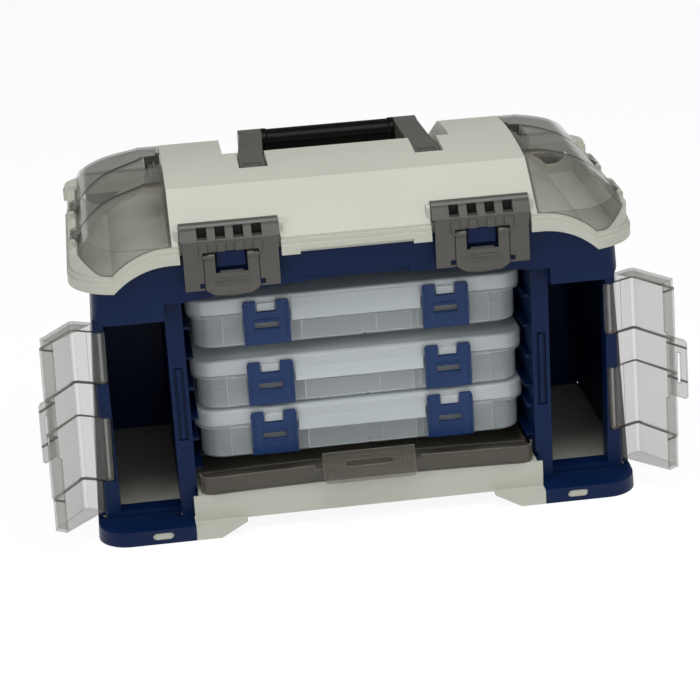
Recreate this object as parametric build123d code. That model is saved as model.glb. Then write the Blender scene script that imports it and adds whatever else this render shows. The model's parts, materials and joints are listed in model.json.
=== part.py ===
from build123d import *
import os
from math import atan2, cos, degrees, hypot, radians, sin

# A free-standing tackle cabinet: a moulded body with a rack for three utility boxes between two tall
# side bays, under a hinged lid with a carry handle and a covered bait well at each end.
# Millimetres. X runs to the right, Y to the back, Z up; the origin is on the floor under the middle.

# ------------------------------------------------------------------ clearances and common walls
RUN = 0.3            # gap between pieces that move past each other
SEAT = 0.3           # gap between a loose piece and what it rests on
PIN_FIT = 0.05       # radial clearance of every pin in its hole
WALL = 4.0           # body walls
LID_WALL = 3.0       # lid skin
SMOKE_WALL = 2.2     # smoke doors and covers

# ------------------------------------------------------------------ body
BASE_HALF_W = 290.0  # half width at the floor
TOP_HALF_W = 271.0   # half width at the height below
FLARE_Z = 300.0
COLUMN_Y = -124.0    # front plane of the columns
SIDE_Y = -111.5      # front plane of the side bays
HEADER_Y = -140.0    # front plane of the header
RIM_Y = -150.0       # front plane of the base rim
REAR_Y = 140.0
RIM_REAR_Y = 146.0
RIM_H = 16.0
RIM_CORNER_R = 34.0
HEADER_CORNER_R = 20.0
BODY_CORNER_R = 14.0
BAY_HALF_W = 182.0   # centre bay
BAY_SIDE_Z = 262.0   # its ceiling at the sides
BAY_CROWN_Z = 274.0  # and in the middle
RECESS_HALF_W = 53.3
RECESS_Z = 278.5
COLUMN_W = 18.4
SIDE_BAY_OUT = 264.0
SIDE_BAY_TOP = 244.0
SILL_Z = 23.5
POST_Y = -90.0       # back of the front frame of a side bay
DECK_Z = 44.0        # top of the base deck under the boxes
FLOOR_Z = 18.0       # side bay floors
TRAY_T = 3.0

# ------------------------------------------------------------------ lid
LID_HALF_W = 295.0
LID_HALF_D = 152.0
EDGE_Z = 306.5       # lower edge of the lid at the middle
NOTCH_RISE = 4.5     # shallow step in the middle of that edge
NOTCH_HALF_W = 58.0
SWEEP_X = 190.0      # where the edge starts to sweep down
SWEEP_R = 81.0
SWEEP_RUN = 59.0
LOBE_END_Y = 112.0   # the lobes stop short of the hinge side
LOBE_GAP = 2.2       # room behind them for the lid's swing
LAP = 5.0            # how far the lid laps over the body
RIDGE_Z, RIDGE_Y = 375.0, -9.0
BREAK_FRONT_Y, BREAK_FRONT_Z = -89.0, 368.0
BREAK_REAR_Y, BREAK_REAR_Z = 76.0, 370.0
BAND_Z = 325.0       # where the lid's front wall turns into its slope
BAND_PROUD = 4.0     # how far the rim band stands out at its lower edge
BAND_STEP_LOW, BAND_STEP_HIGH = 10.5, 15.5   # tops of the band's two steps above the lower edge
END_RIM_Z = 314.0    # outer edge of the rim at the ends
LID_CORNER_R, LID_REAR_R = 60.0, 30.0
COVER_IN, COVER_OUT = 187.5, 282.0
BAND_H = 18.0        # height of the rim below the covers
LOBE_X = 256.0       # lowest point of a cover's front edge
HINGE_SHOULDER_Z = 318.0
WELL_FLOOR_T = 3.0
WELL_REAR_Y = 104.0
CHANNEL_HALF_W, CHANNEL_Y, CHANNEL_FLOOR_Z = 116.0, 0.0, 341.0
CHANNEL_LEAN = 6.0   # its side walls lean out by this at the top

# ------------------------------------------------------------------ handle
ARM_X_PIVOT, ARM_X_GRIP = 92.5, 86.0
ARM_W = 27.0
ARM_W_GRIP = 25.0    # a little narrower at the grip
HANDLE_PIVOT_Y, HANDLE_PIVOT_Z = -37.0, 359.5
GRIP_Y, GRIP_Z = 87.0, 361.0
GRIP_R = 14.5
HANDLE_PIN_R = 3.5

# ------------------------------------------------------------------ lid latches
LATCH_X = 128.5
LATCH_HALF_W = 48.5
LATCH_BAR_HALF_W = 50.5
LATCH_AXIS_Y, LATCH_AXIS_Z = -137.0, 337.0
LATCH_BAR_R = 8.0
LATCH_PIN_R = 1.6
PLATE_FRONT_Y, PLATE_T = -152.0, 3.2
PLATE_BOTTOM_Z = 277.0
CUTOUT_HALF_W = 28.5
PADDLE_GAP = 0.7
HORN_TOP_Z = 315.0
CUTOUT_TOP_Z = HORN_TOP_Z + 2.5
WINDOW_HALF_W, WINDOW_SILL_Z = 16.5, 294.0
LIP_Z = 269.0
PADDLE_PIN_R = 1.2
CATCH_HALF_W, CATCH_TOP_Z = 14.5, 316.0

# ------------------------------------------------------------------ side doors
DOOR_BOTTOM, DOOR_TOP = 24.5, 238.0
DOOR_MID = (DOOR_BOTTOM + DOOR_TOP) / 2
DOOR_AXIS_X, DOOR_AXIS_Y = 270.9, -105.9     # pin line at mid height
DOOR_LEAN_DEG = 1.375                        # the pin line leans in at the top
DOOR_OPEN_DEG = 122.5
DOOR_PIN_R = 2.0
KNUCKLE_DOOR_R = 5.6
DOOR_EDGE_V = -6.6       # from the pin line: hinge edge, front face and free edge of the shut door
DOOR_FACE_V = -30.3
DOOR_FREE_U = -65.8
DOOR_FLANGE = 15.0
DOOR_STEPS = (61.0, 133.0, 171.0, 228.0)     # heights where the door's skin steps in and out
DOOR_STEP = 1.5
TAB_Z, TAB_H, TAB_W, TAB_DEPTH = 145.0, 66.0, 25.5, 12.0
TAB_SLOT_W, TAB_SLOT_H = 4.5, 34.0
CATCH_RIB_H = 78.0

# ------------------------------------------------------------------ front door, stored under the boxes
FRONT_DOOR_HALF_W = 178.5
FRONT_DOOR_L = 214.0
FRONT_DOOR_Y = -139.0
FRONT_DOOR_RIM_H = 19.5
FRONT_DOOR_ARCH = 3.5
FRONT_TAB_HALF_W = 49.0
FRONT_TAB_H = 33.0
GUIDE_PIN_R = 2.4

# ------------------------------------------------------------------ utility boxes
BOX_W, BOX_D, BOX_H = 355.6, 231.0, 54.0
BOX_FRONT_Y = -100.0
BOX_BOTTOMS = (193.5, 125.5, 69.0)
BOX_TRAY_HALF_W = 172.0
BOX_SKIRT_H = 17.0
BOX_RIM_Z = 34.0      # underside of the tray's rim
BOX_WALL = 1.8
BOX_CORNER_R = 24.0
CLIP_X, CLIP_W, CLIP_H, CLIP_T = 94.5, 49.0, 50.0, 3.0
CLIP_PIN_R = 1.2
LEDGE_T = 3.0
FOOT_LEDGE_T = 1.8    # thin, because it lies between two boxes
LEDGE_REACH = 8.0
RIM_LEDGE_REACH = 6.5

os.makedirs("parts", exist_ok=True)


def write(name, shape):
    """One named node; every solid of the shape goes into its file."""
    solids = [s for s in shape.solids() if s.volume > 0.5]
    made = solids[0] if len(solids) == 1 else Compound(solids)
    export_step(made, f"parts/{name}.step")
    print(name, len(solids), round(sum(s.volume for s in solids)))


def block(x0, x1, y0, y1, z0, z1):
    return Pos((x0 + x1) / 2, (y0 + y1) / 2, (z0 + z1) / 2) * Box(abs(x1 - x0), abs(y1 - y0), abs(z1 - z0))


def rod_x(x0, x1, y, z, r):
    return Pos((x0 + x1) / 2, y, z) * Rot(0, 90, 0) * Cylinder(r, abs(x1 - x0))


def rod_y(x, y0, y1, z, r):
    return Pos(x, (y0 + y1) / 2, z) * Rot(90, 0, 0) * Cylinder(r, abs(y1 - y0))


def front_slab(face, y0, y1):
    """A face drawn in X and Z, given the depth y0 to y1."""
    return Pos(0, y1, 0) * extrude(Plane.XZ * face, y1 - y0)


def side_slab(face, x0, x1):
    """A face drawn in Y and Z, given the width x0 to x1."""
    return Pos(x0, 0, 0) * extrude(Plane.YZ * face, x1 - x0)


def outline(*edges):
    return make_face(Curve() + list(edges))


def polygon(*points):
    return make_face(Polyline(*points, close=True))


def mirrored(shape):
    return mirror(shape, Plane.YZ)


def body_half(z):
    return BASE_HALF_W - (BASE_HALF_W - TOP_HALF_W) * z / FLARE_Z


def plan_outline(half_w, y_front, y_rear, r_front, r_rear):
    face = Pos(0, (y_front + y_rear) / 2) * Rectangle(2 * half_w, y_rear - y_front)
    corners = face.vertices().sort_by(Axis.Y)
    face = fillet(corners[:2], r_front)
    return fillet(face.vertices().sort_by(Axis.Y)[-2:], r_rear)


def flared(z0, z1, y_front, y_rear, r_front, r_rear, inset=0.0):
    """A block with the body's rounded plan, whose ends lean with the body's flare."""
    low = Pos(0, 0, z0) * plan_outline(body_half(z0) - inset, y_front, y_rear, r_front, r_rear)
    high = Pos(0, 0, z1) * plan_outline(body_half(z1) - inset, y_front, y_rear, r_front, r_rear)
    return loft([low.face(), high.face()], ruled=True)


# ------------------------------------------------------------------ the swept edge between lid and body
def sweep_drop():
    return SWEEP_R - (SWEEP_R ** 2 - SWEEP_RUN ** 2) ** 0.5


def above_edge(rise, rear=LOBE_END_Y, reach=420.0):
    """Everything above the lid's lower edge, moved up by rise: level in the middle, then sweeping
    down to a lobe at each end, but level along the hinge side."""
    z = EDGE_Z + rise
    x1, x2 = SWEEP_X, SWEEP_X + SWEEP_RUN
    low = z - sweep_drop()
    half = radians(degrees(atan2(SWEEP_RUN, SWEEP_R - sweep_drop())) / 2)
    mid = (x1 + SWEEP_R * sin(half), z - SWEEP_R + SWEEP_R * cos(half))
    far = LID_HALF_W + 60
    face = outline(
        Line((-x1, z), (x1, z)),
        ThreePointArc((x1, z), mid, (x2, low)),
        Polyline((x2, low), (far, low), (far, reach), (-far, reach), (-far, low), (-x2, low)),
        ThreePointArc((-x2, low), (-mid[0], mid[1]), (-x1, z)),
    )
    front = front_slab(face, -LID_HALF_D - 60, rear)
    return front + block(-far, far, rear - 0.01, LID_HALF_D + 60, z, reach)


# ------------------------------------------------------------------ body
def body_shell():
    main = flared(10, 330, COLUMN_Y, REAR_Y, BODY_CORNER_R, BODY_CORNER_R)
    header = flared(SIDE_BAY_TOP - 1, 330, HEADER_Y, 0, HEADER_CORNER_R, BODY_CORNER_R) & header_front()
    rim = flared(0, RIM_H, RIM_Y, RIM_REAR_Y, RIM_CORNER_R, BODY_CORNER_R)
    body = main + header + rim
    body -= block(-COLUMN_OUT, COLUMN_OUT, HEADER_Y - 1, COLUMN_Y, SIDE_BAY_TOP - 2, BAY_SIDE_Z)
    # centre bay with its arched ceiling, and the shallow recess above it
    bay = outline(
        Polyline((-BAY_HALF_W, BAY_SIDE_Z), (-BAY_HALF_W, FLOOR_Z + SEAT), (BAY_HALF_W, FLOOR_Z + SEAT),
                 (BAY_HALF_W, BAY_SIDE_Z)),
        ThreePointArc((BAY_HALF_W, BAY_SIDE_Z), (0, BAY_CROWN_Z), (-BAY_HALF_W, BAY_SIDE_Z)),
    )
    body -= front_slab(bay, RIM_Y - 1, REAR_Y - WALL)
    body -= block(-RECESS_HALF_W, RECESS_HALF_W, HEADER_Y - 1, HEADER_Y + 2.5, BAY_SIDE_Z, RECESS_Z)
    # side bays: a square opening in a front frame, wider behind it
    for side in (-1, 1):
        inner, outer = side * COLUMN_OUT, side * SIDE_BAY_OUT
        body -= block(inner, side * 320, RIM_Y - 1, SIDE_Y, RIM_H, SIDE_BAY_TOP)
        body -= block(inner, outer, RIM_Y - 1, POST_Y + 1, SILL_Z, SIDE_BAY_TOP)
        room = polygon(
            (inner, FLOOR_Z), (side * (body_half(FLOOR_Z) - WALL), FLOOR_Z),
            (side * (body_half(SIDE_BAY_TOP) - WALL), SIDE_BAY_TOP), (inner, SIDE_BAY_TOP))
        body -= front_slab(room, POST_Y, REAR_Y - WALL)
        # hollow of the divider, open below
        body -= block(side * (BAY_HALF_W + 6), side * (COLUMN_OUT - 4), COLUMN_Y + 6, REAR_Y - 2 * WALL, -1,
                      BAY_SIDE_Z - 6)
    # room under the lid
    body -= flared(BAY_CROWN_Z + WALL, 340, HEADER_Y + WALL, REAR_Y - WALL, HEADER_CORNER_R - WALL,
                   BODY_CORNER_R - WALL, WALL)
    for side in (-1, 1):
        pocket = flared(SIDE_BAY_TOP + WALL, 340, HEADER_Y + WALL, REAR_Y - WALL, HEADER_CORNER_R - WALL,
                        BODY_CORNER_R - WALL, WALL)
        body -= pocket & block(side * (COLUMN_OUT + WALL), side * 400, -200, 200, 0, 400)
    body -= above_edge(LAP, LOBE_END_Y + LOBE_GAP)
    body -= block(-NOTCH_HALF_W, NOTCH_HALF_W, HEADER_Y - 1, HEADER_Y + WALL + 1, EDGE_Z + LAP + 5, 400)
    # underside: open inside the base rim, and cut away at the front where the base panel stands
    body -= flared(-1, RIM_H - TRAY_T, RIM_Y + WALL, RIM_REAR_Y - WALL, RIM_CORNER_R - WALL,
                   BODY_CORNER_R - WALL, WALL)
    body -= flared(5, FLOOR_Z + SEAT, SIDE_Y + WALL, REAR_Y - WALL, BODY_CORNER_R - WALL,
                   BODY_CORNER_R - WALL, WALL)
    body -= block(-COLUMN_OUT, COLUMN_OUT, COLUMN_Y + WALL, SIDE_Y + WALL + 1, 5, FLOOR_Z + SEAT)
    body -= block(-PANEL_HALF_W - SEAT, PANEL_HALF_W + SEAT, RIM_Y - 1, COLUMN_Y + WALL + 1, -1, RIM_H)
    body -= block(-PANEL_HALF_W - SEAT, PANEL_HALF_W + SEAT, RIM_Y - 1, COLUMN_Y, -1, DECK_Z + 6)
    body -= block(-BAY_HALF_W, BAY_HALF_W, RIM_Y - 1, COLUMN_Y + WALL + 1, -1, FLOOR_Z + SEAT)
    for side in (-1, 1):
        body -= oval_slot(side)
        body += rack_rails(side)
        body -= column_recess(side)
        body += column_catch(side)
        body += latch_catch(side)
        body -= guide_groove(side)
        body -= for_side(side, post_relief())
        body -= for_side(side, door_pins(PIN_FIT, 0.6))
    body += lid_hinge_lugs()
    body -= lid_hinge_bores()
    return body


PANEL_HALF_W = BAY_HALF_W + 5.0
COLUMN_MID = BAY_HALF_W + COLUMN_W / 2
COLUMN_OUT = BAY_HALF_W + COLUMN_W


def oval_slot(side):
    face = Pos(side * 222.3, 8.2) * SlotOverall(22, 8.4)
    return front_slab(face, RIM_Y - 1, RIM_Y + WALL + 1)


def rack_rails(side):
    """Ledges beside the foot of each box, and narrower ones that carry the rim of its tray."""
    rails = Part()
    for z in BOX_BOTTOMS:
        rails += block(side * (BAY_HALF_W - LEDGE_REACH), side * (BAY_HALF_W + 1), COLUMN_Y + 8,
                       REAR_Y - WALL + 1, z - SEAT - FOOT_LEDGE_T, z - SEAT)
    for z in BOX_BOTTOMS:
        top = z + BOX_RIM_Z - SEAT
        rails += block(side * (BAY_HALF_W - RIM_LEDGE_REACH), side * (BAY_HALF_W + 1), COLUMN_Y + 8,
                       REAR_Y - WALL + 1, top - LEDGE_T, top)
    return rails


def header_front():
    """Front outline of the header, with rounded lower outer corners."""
    low = body_half(SIDE_BAY_TOP)
    face = polygon((-low, SIDE_BAY_TOP), (low, SIDE_BAY_TOP), (low, 340), (-low, 340))
    return front_slab(fillet(face.vertices().sort_by(Axis.Y)[:2], 16), HEADER_Y - 1, 1)


def column_recess(side):
    """Shallow recess in the column's front, beside the bay."""
    x = side * COLUMN_MID
    return block(x - 5, x + 5, COLUMN_Y - 1, COLUMN_Y + 3, TAB_Z - CATCH_RIB_H / 2 - 2, TAB_Z + CATCH_RIB_H / 2 + 2)


def column_catch(side):
    """Upright rib in that recess, with a nib that the side door's slotted tab snaps over."""
    x = side * COLUMN_MID
    rib = block(x - 2.2, x + 2.2, COLUMN_Y, COLUMN_Y + 4, TAB_Z - CATCH_RIB_H / 2, TAB_Z + CATCH_RIB_H / 2)
    return rib + block(x - 1.2, x + 1.2, COLUMN_Y - 1.5, COLUMN_Y + 1, TAB_Z - 14, TAB_Z + 14)


def latch_catch(side):
    """Post on the header that stands in the latch paddle's window."""
    x = side * LATCH_X
    face = polygon((HEADER_Y + 1, 297), (HEADER_Y - 7, 299.5), (HEADER_Y - 7, CATCH_TOP_Z),
                   (HEADER_Y - 3, CATCH_TOP_Z), (HEADER_Y - 3, EDGE_Z), (HEADER_Y + 1, EDGE_Z))
    return side_slab(face, x - CATCH_HALF_W, x + CATCH_HALF_W)


def guide_groove(side):
    z = DECK_Z + SEAT + GUIDE_PIN_R
    return block(side * (BAY_HALF_W - 1), side * (BAY_HALF_W + 2.6), COLUMN_Y - 15, 100,
                 z - GUIDE_PIN_R - RUN, z + GUIDE_PIN_R + RUN)


# ------------------------------------------------------------------ lid hinge along the back
LID_AXIS_Y, LID_AXIS_Z = 147.5, 301.5
LID_PIN_R = 2.5
HINGE_X = (-190.0, -60.0, 60.0, 190.0)
HINGE_SPAN = 46.0
HINGE_BARREL_R = 5.5


def lid_hinge_lugs():
    """Two body barrels at each hinge, outside the lid's one."""
    lugs = Part()
    for x in HINGE_X:
        for s in (-1, 1):
            x0, x1 = x + s * (HINGE_SPAN / 6 + RUN), x + s * HINGE_SPAN / 2
            lugs += rod_x(x0, x1, LID_AXIS_Y, LID_AXIS_Z, HINGE_BARREL_R)
            root = polygon((REAR_Y - 1, LID_AXIS_Z - 18), (LID_AXIS_Y - 3, LID_AXIS_Z - 4),
                           (LID_AXIS_Y, LID_AXIS_Z + 3), (REAR_Y - 1, LID_AXIS_Z + 3))
            lugs += side_slab(root, min(x0, x1), max(x0, x1))
    return lugs


def lid_hinge_bores():
    bores = Part()
    for x in HINGE_X:
        bores += rod_x(x - HINGE_SPAN / 2 - 1, x + HINGE_SPAN / 2 + 1, LID_AXIS_Y, LID_AXIS_Z, LID_PIN_R + PIN_FIT)
    return bores


def lid_hinge_pins():
    pins = Part()
    for x in HINGE_X:
        pins += rod_x(x - HINGE_SPAN / 2 - 1.5, x + HINGE_SPAN / 2 + 1.5, LID_AXIS_Y, LID_AXIS_Z, LID_PIN_R)
    return pins


# ------------------------------------------------------------------ base tray
def base_tray():
    """Pale tray pushed up into the body: bay floors, raised deck, front panel and the two block feet."""
    floor = flared(FLOOR_Z - TRAY_T, FLOOR_Z, SIDE_Y + WALL + RUN, REAR_Y - WALL, BODY_CORNER_R - WALL,
                   BODY_CORNER_R - WALL, WALL + RUN)
    floor += block(-COLUMN_OUT + RUN, COLUMN_OUT - RUN, COLUMN_Y + WALL + RUN, SIDE_Y + WALL + 2, FLOOR_Z - TRAY_T,
                   FLOOR_Z)
    deck_half = BAY_HALF_W - RUN
    deck = block(-deck_half, deck_half, PANEL_Y, REAR_Y - WALL - RUN, FLOOR_Z - TRAY_T, 60) & below_arch(DECK_Z)
    deck -= block(-deck_half + TRAY_T, deck_half - TRAY_T, PANEL_Y + TRAY_T, REAR_Y - WALL - TRAY_T - RUN, 0,
                  60) & below_arch(DECK_Z - TRAY_T)
    tray = floor - block(-deck_half + TRAY_T, deck_half - TRAY_T, PANEL_Y, REAR_Y - WALL - TRAY_T - RUN, 0, 40)
    tray += deck
    # the front panel is wider than the deck, in front of the columns
    p = PANEL_HALF_W
    tray += block(-p, p, PANEL_Y, PANEL_Y + TRAY_T, RIM_H, DECK_Z)
    # block feet in line with the base rim, slanted on the inside
    for side in (-1, 1):
        foot = polygon((side * p, 0), (side * FOOT_TOE, 0), (side * FOOT_HEEL, RIM_H), (side * p, RIM_H))
        tray += front_slab(foot, RIM_Y, PANEL_Y + TRAY_T)
        tray += block(side * (FOOT_TOE + 4), side * deck_half, PANEL_Y, COLUMN_Y + WALL + 4, RIM_H - 3, FLOOR_Z)
        tray += block(side * (FOOT_TOE + 8), side * (p - 8), PANEL_Y, REAR_Y - 12, 0, FLOOR_Z)
        tray -= block(side * (FOOT_TOE + 11), side * (p - 11), RIM_Y + 3, REAR_Y - 15, -1, FLOOR_Z - TRAY_T)
        # bosses that reach the oval slots of the rim
        nose = Pos(side * 222.3, 8.2) * SlotOverall(21, 7.4)
        tray += front_slab(nose, RIM_Y + 1.2, RIM_Y + WALL + 3)
        tray += block(side * 216, side * 228, RIM_Y + WALL + SEAT, SIDE_Y + WALL + 4, 5, RIM_H - TRAY_T - SEAT)
        tray += block(side * 216, side * 228, SIDE_Y + WALL + RUN, SIDE_Y + WALL + 4, 5, FLOOR_Z)
    # keel that stands on the floor under the middle
    tray += block(-4, 4, -100, REAR_Y - 20, 0, DECK_Z + FRONT_DOOR_ARCH - 1)
    return tray


PANEL_Y = -137.0
FOOT_TOE, FOOT_HEEL = 161.0, 132.5


def below_arch(z):
    """Everything below the low arch that the deck and the stored door share, at height z at its feet."""
    half = BAY_HALF_W
    face = outline(
        Polyline((-half, z), (-half, 0), (half, 0), (half, z)),
        ThreePointArc((half, z), (0, z + FRONT_DOOR_ARCH), (-half, z)),
    )
    return front_slab(face, -200, 200)


# ------------------------------------------------------------------ lid
def lid_envelope(inset=0.0):
    """Outer form of lid and covers above the rim band: a crowned side section, a domed front section
    and a rounded plan, all drawn in by inset."""
    i = inset
    d, w = LID_HALF_D - BAND_PROUD - i, LID_HALF_W - BAND_PROUD - i
    side = outline(
        Polyline((-d, BAND_Z - i * 0.4), (-d, 200), (d, 200), (d, BAND_Z - i * 0.4)),
        Line((d, BAND_Z - i * 0.4), (BREAK_REAR_Y - i * 0.3, BREAK_REAR_Z - i)),
        ThreePointArc((BREAK_REAR_Y - i * 0.3, BREAK_REAR_Z - i), (RIDGE_Y, RIDGE_Z - i),
                      (BREAK_FRONT_Y + i * 0.3, BREAK_FRONT_Z - i)),
        Line((BREAK_FRONT_Y + i * 0.3, BREAK_FRONT_Z - i), (-d, BAND_Z - i * 0.4)),
    )
    shoulder = [(192, 372), (211, 369.4), (243, 358.8), (262, 347), (275, 333), (280, 319)]
    pts = [(x - i * 0.6, z - i * 0.9) for x, z in shoulder]
    left = [(-x, z) for x, z in reversed(pts)]
    front = outline(
        Spline(*pts, tangents=[(1, -0.02), (0.12, -1)]),
        Polyline(pts[-1], (w, END_RIM_Z), (w, 200), (-w, 200), (-w, END_RIM_Z), left[0]),
        Spline(*left, tangents=[(0.12, 1), (1, 0.02)]),
        Polyline(left[-1], (left[-1][0], 400), (pts[0][0], 400), pts[0]),
    )
    plan = plan_outline(w, -d, d, LID_CORNER_R - BAND_PROUD - i, LID_REAR_R - i)
    env = side_slab(side, -w - 1, w + 1) & front_slab(front, -d - 1, d + 1)
    return env & (Pos(0, 0, 199) * extrude(plan, 250))


def rim_band():
    """The lid's rim: two steps, each standing out from the one above, that run along its lower edge."""
    band = Part()
    for back, top in ((0, BAND_STEP_LOW), (BAND_PROUD / 2, BAND_STEP_HIGH)):
        d, w = LID_HALF_D - back, LID_HALF_W - back
        plan = plan_outline(w, -d, d, LID_CORNER_R - back, LID_REAR_R)
        band += (Pos(0, 0, 260) * extrude(plan, 80)) - above_edge(top)
    return band


def cover_room(side, grow=0.0):
    """Space of one bait cover: inside the rim band, whose top runs parallel to the lid's lower edge."""
    zone = block(side * (COVER_IN - grow), side * (COVER_OUT + grow), -LID_HALF_D - 1, LID_HALF_D - 8 + grow,
                 250, 420)
    # towards the corner the band rises again to the hinge shoulder
    x0, x1, x2 = side * LOBE_X, side * COVER_OUT, side * (COVER_OUT + 20)
    low = EDGE_Z + BAND_H - sweep_drop() - grow
    rise = outline(
        Spline((x0, low), (side * (LOBE_X + 13), low + 6), (x1, HINGE_SHOULDER_Z - grow),
               tangents=[(side, 0), (side * 0.8, 1)]),
        Polyline((x1, HINGE_SHOULDER_Z - grow), (x2, HINGE_SHOULDER_Z - grow), (x2, low - 30), (x0, low - 30),
                 (x0, low)),
    )
    return (zone & above_edge(BAND_H - grow)) - front_slab(rise, -200, 200)


def body_plug(clear):
    """The body's outer plan with clearance, for the inside of the lid's skirt."""
    low = Pos(0, 0, 240) * plan_outline(body_half(240) + clear, HEADER_Y - clear, REAR_Y + clear,
                                        HEADER_CORNER_R, BODY_CORNER_R)
    high = Pos(0, 0, 330) * plan_outline(body_half(330) + clear + 4, HEADER_Y - clear, REAR_Y + clear,
                                         HEADER_CORNER_R, BODY_CORNER_R)
    return loft([low.face(), high.face()], ruled=True)


def lid_shell():
    lid = (lid_envelope() + rim_band()) & above_edge(0)
    lid -= block(-NOTCH_HALF_W, NOTCH_HALF_W, -LID_HALF_D - 1, HEADER_Y - 4, EDGE_Z - 1, EDGE_Z + NOTCH_RISE)
    # lapped over the body's top edge
    lid -= body_plug(1.5) - above_edge(LAP + SEAT)
    # room under the top, with thicker skin round the handle channel
    inner = lid_envelope(LID_WALL)
    half = COVER_IN - 3.5
    room = inner & block(-half, half, HEADER_Y + 1.5, REAR_Y - 4, 250, 420)
    room &= above_edge(LAP + SEAT - 1)
    wide = CHANNEL_HALF_W + CHANNEL_LEAN + LID_WALL
    room -= block(-wide, wide, CHANNEL_Y - LID_WALL, 200, CHANNEL_FLOOR_Z - LID_WALL, 420)
    for side in (-1, 1):
        x = side * ARM_X_PIVOT
        room -= block(x - ARM_W / 2 - 6, x + ARM_W / 2 + 6, ARM_SLOT_Y - 3, 20, ARM_SLOT_Z - 3, 420)
    lid -= room
    # handle channel, open to the back, and the slots of the two arms
    top = CHANNEL_HALF_W + CHANNEL_LEAN
    channel = polygon((-CHANNEL_HALF_W, CHANNEL_FLOOR_Z), (CHANNEL_HALF_W, CHANNEL_FLOOR_Z), (top, RIDGE_Z + 1),
                      (-top, RIDGE_Z + 1))
    lid -= front_slab(channel, CHANNEL_Y, 200)
    for side in (-1, 1):
        lid -= arm_slot(side)
        lid -= cover_room(side, 0.6)
        lid -= bait_well(side)
        lid -= latch_seat(side)
        lid += latch_ears(side)
        lid -= rod_x(side * LATCH_X - 60, side * LATCH_X + 60, LATCH_AXIS_Y, LATCH_AXIS_Z, LATCH_PIN_R + PIN_FIT)
        lid -= cover_hinge_slots(side)
        lid += cover_lugs(side)
        lid -= cover_hinge_bore(side)
        lid += cover_keeper(side)
    lid -= rod_x(-ARM_X_PIVOT - 25, ARM_X_PIVOT + 25, HANDLE_PIVOT_Y, HANDLE_PIVOT_Z, HANDLE_PIN_R + PIN_FIT)
    # hinge side: room for the body barrels, and the lid's own barrels
    for x in HINGE_X:
        lid -= block(x - HINGE_SPAN / 2 - 2, x + HINGE_SPAN / 2 + 2, REAR_Y + 1, 200, 250, LID_AXIS_Z + 14)
        b = HINGE_SPAN / 6
        lid += rod_x(x - b, x + b, LID_AXIS_Y, LID_AXIS_Z, HINGE_BARREL_R)
        root = polygon((LID_AXIS_Y - 2, LID_AXIS_Z + 2), (LID_AXIS_Y + HINGE_BARREL_R - 1, LID_AXIS_Z + 2),
                       (LID_AXIS_Y + 3, LID_AXIS_Z + 16), (REAR_Y + 2, LID_AXIS_Z + 16),
                       (REAR_Y + 2, LID_AXIS_Z + 9))
        lid += side_slab(root, x - b, x + b)
        lid -= rod_x(x - b - 1, x + b + 1, LID_AXIS_Y, LID_AXIS_Z, LID_PIN_R + PIN_FIT)
    return lid


ARM_SLOT_Y, ARM_SLOT_Z = -51.0, 345.0


def arm_slot(side):
    x = side * ARM_X_PIVOT
    w = ARM_W / 2 + 1.6
    return block(x - w, x + w, ARM_SLOT_Y, CHANNEL_Y + 1, ARM_SLOT_Z, 420)


def bait_well(side):
    """Hollow under a cover, open at the top."""
    floor = EDGE_Z - sweep_drop() + LAP + SEAT + WELL_FLOOR_T
    well = block(side * (COVER_IN + 2), side * (COVER_OUT - 3), -LID_HALF_D + 14, WELL_REAR_Y, floor, 420)
    well = well & (above_edge(LAP + SEAT + WELL_FLOOR_T))
    corner = fillet(well.edges().filter_by(Axis.Z), 5)
    return corner & lid_envelope(LID_WALL)


def latch_seat(side):
    """Pocket in the rim band and slope where a latch lies."""
    x = side * LATCH_X
    w = LATCH_BAR_HALF_W + 1
    seat = rod_x(x - w, x + w, LATCH_AXIS_Y, LATCH_AXIS_Z, LATCH_BAR_R + 0.6)
    seat += block(x - w, x + w, -LID_HALF_D - 1, HEADER_Y - 2, EDGE_Z - 2, LATCH_AXIS_Z)
    seat += block(x - w, x + w, -LID_HALF_D - 1, HEADER_Y + 1, EDGE_Z - 2, CATCH_TOP_Z + 1.5)
    under = polygon((-LID_HALF_D - 1, 320), (PLATE_FRONT_Y + 4, 320), (LATCH_AXIS_Y + 4, LATCH_AXIS_Z - 9),
                    (LATCH_AXIS_Y + 4, LATCH_AXIS_Z), (-LID_HALF_D - 1, LATCH_AXIS_Z))
    seat += side_slab(under, x - w, x + w)
    return seat


def latch_ears(side):
    """Small bosses at the two ends of a latch bar, carrying its pin."""
    ears = Part()
    for s in (-1, 1):
        x0 = side * LATCH_X + s * (LATCH_BAR_HALF_W + RUN)
        x1 = x0 + s * 4
        ears += rod_x(x0, x1, LATCH_AXIS_Y, LATCH_AXIS_Z, 5)
        root = polygon((LATCH_AXIS_Y - 5, LATCH_AXIS_Z), (LATCH_AXIS_Y + 4, LATCH_AXIS_Z + 3),
                       (LATCH_AXIS_Y + 10, LATCH_AXIS_Z - 6), (HEADER_Y + 6, BAND_Z - 8),
                       (-LID_HALF_D + 8, BAND_Z - 8))
        ears += side_slab(root, min(x0, x1), max(x0, x1))
    return ears


# ------------------------------------------------------------------ bait covers
COVER_AXIS_X, COVER_AXIS_Z = 286.0, 321.0
COVER_KNUCKLES_Y = (-70.0, 30.0)
KNUCKLE_L = 33.0
COVER_PIN_R = 1.3
KNUCKLE_R = 3.4
COVER_LUG_R = 3.1
COVER_LATCH_Y, COVER_LATCH_L, COVER_LATCH_W = 8.0, 46.0, 12.0
COVER_LATCH_TRAVEL = 2.5
COVER_LATCH_FLOOR = 352.0


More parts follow.
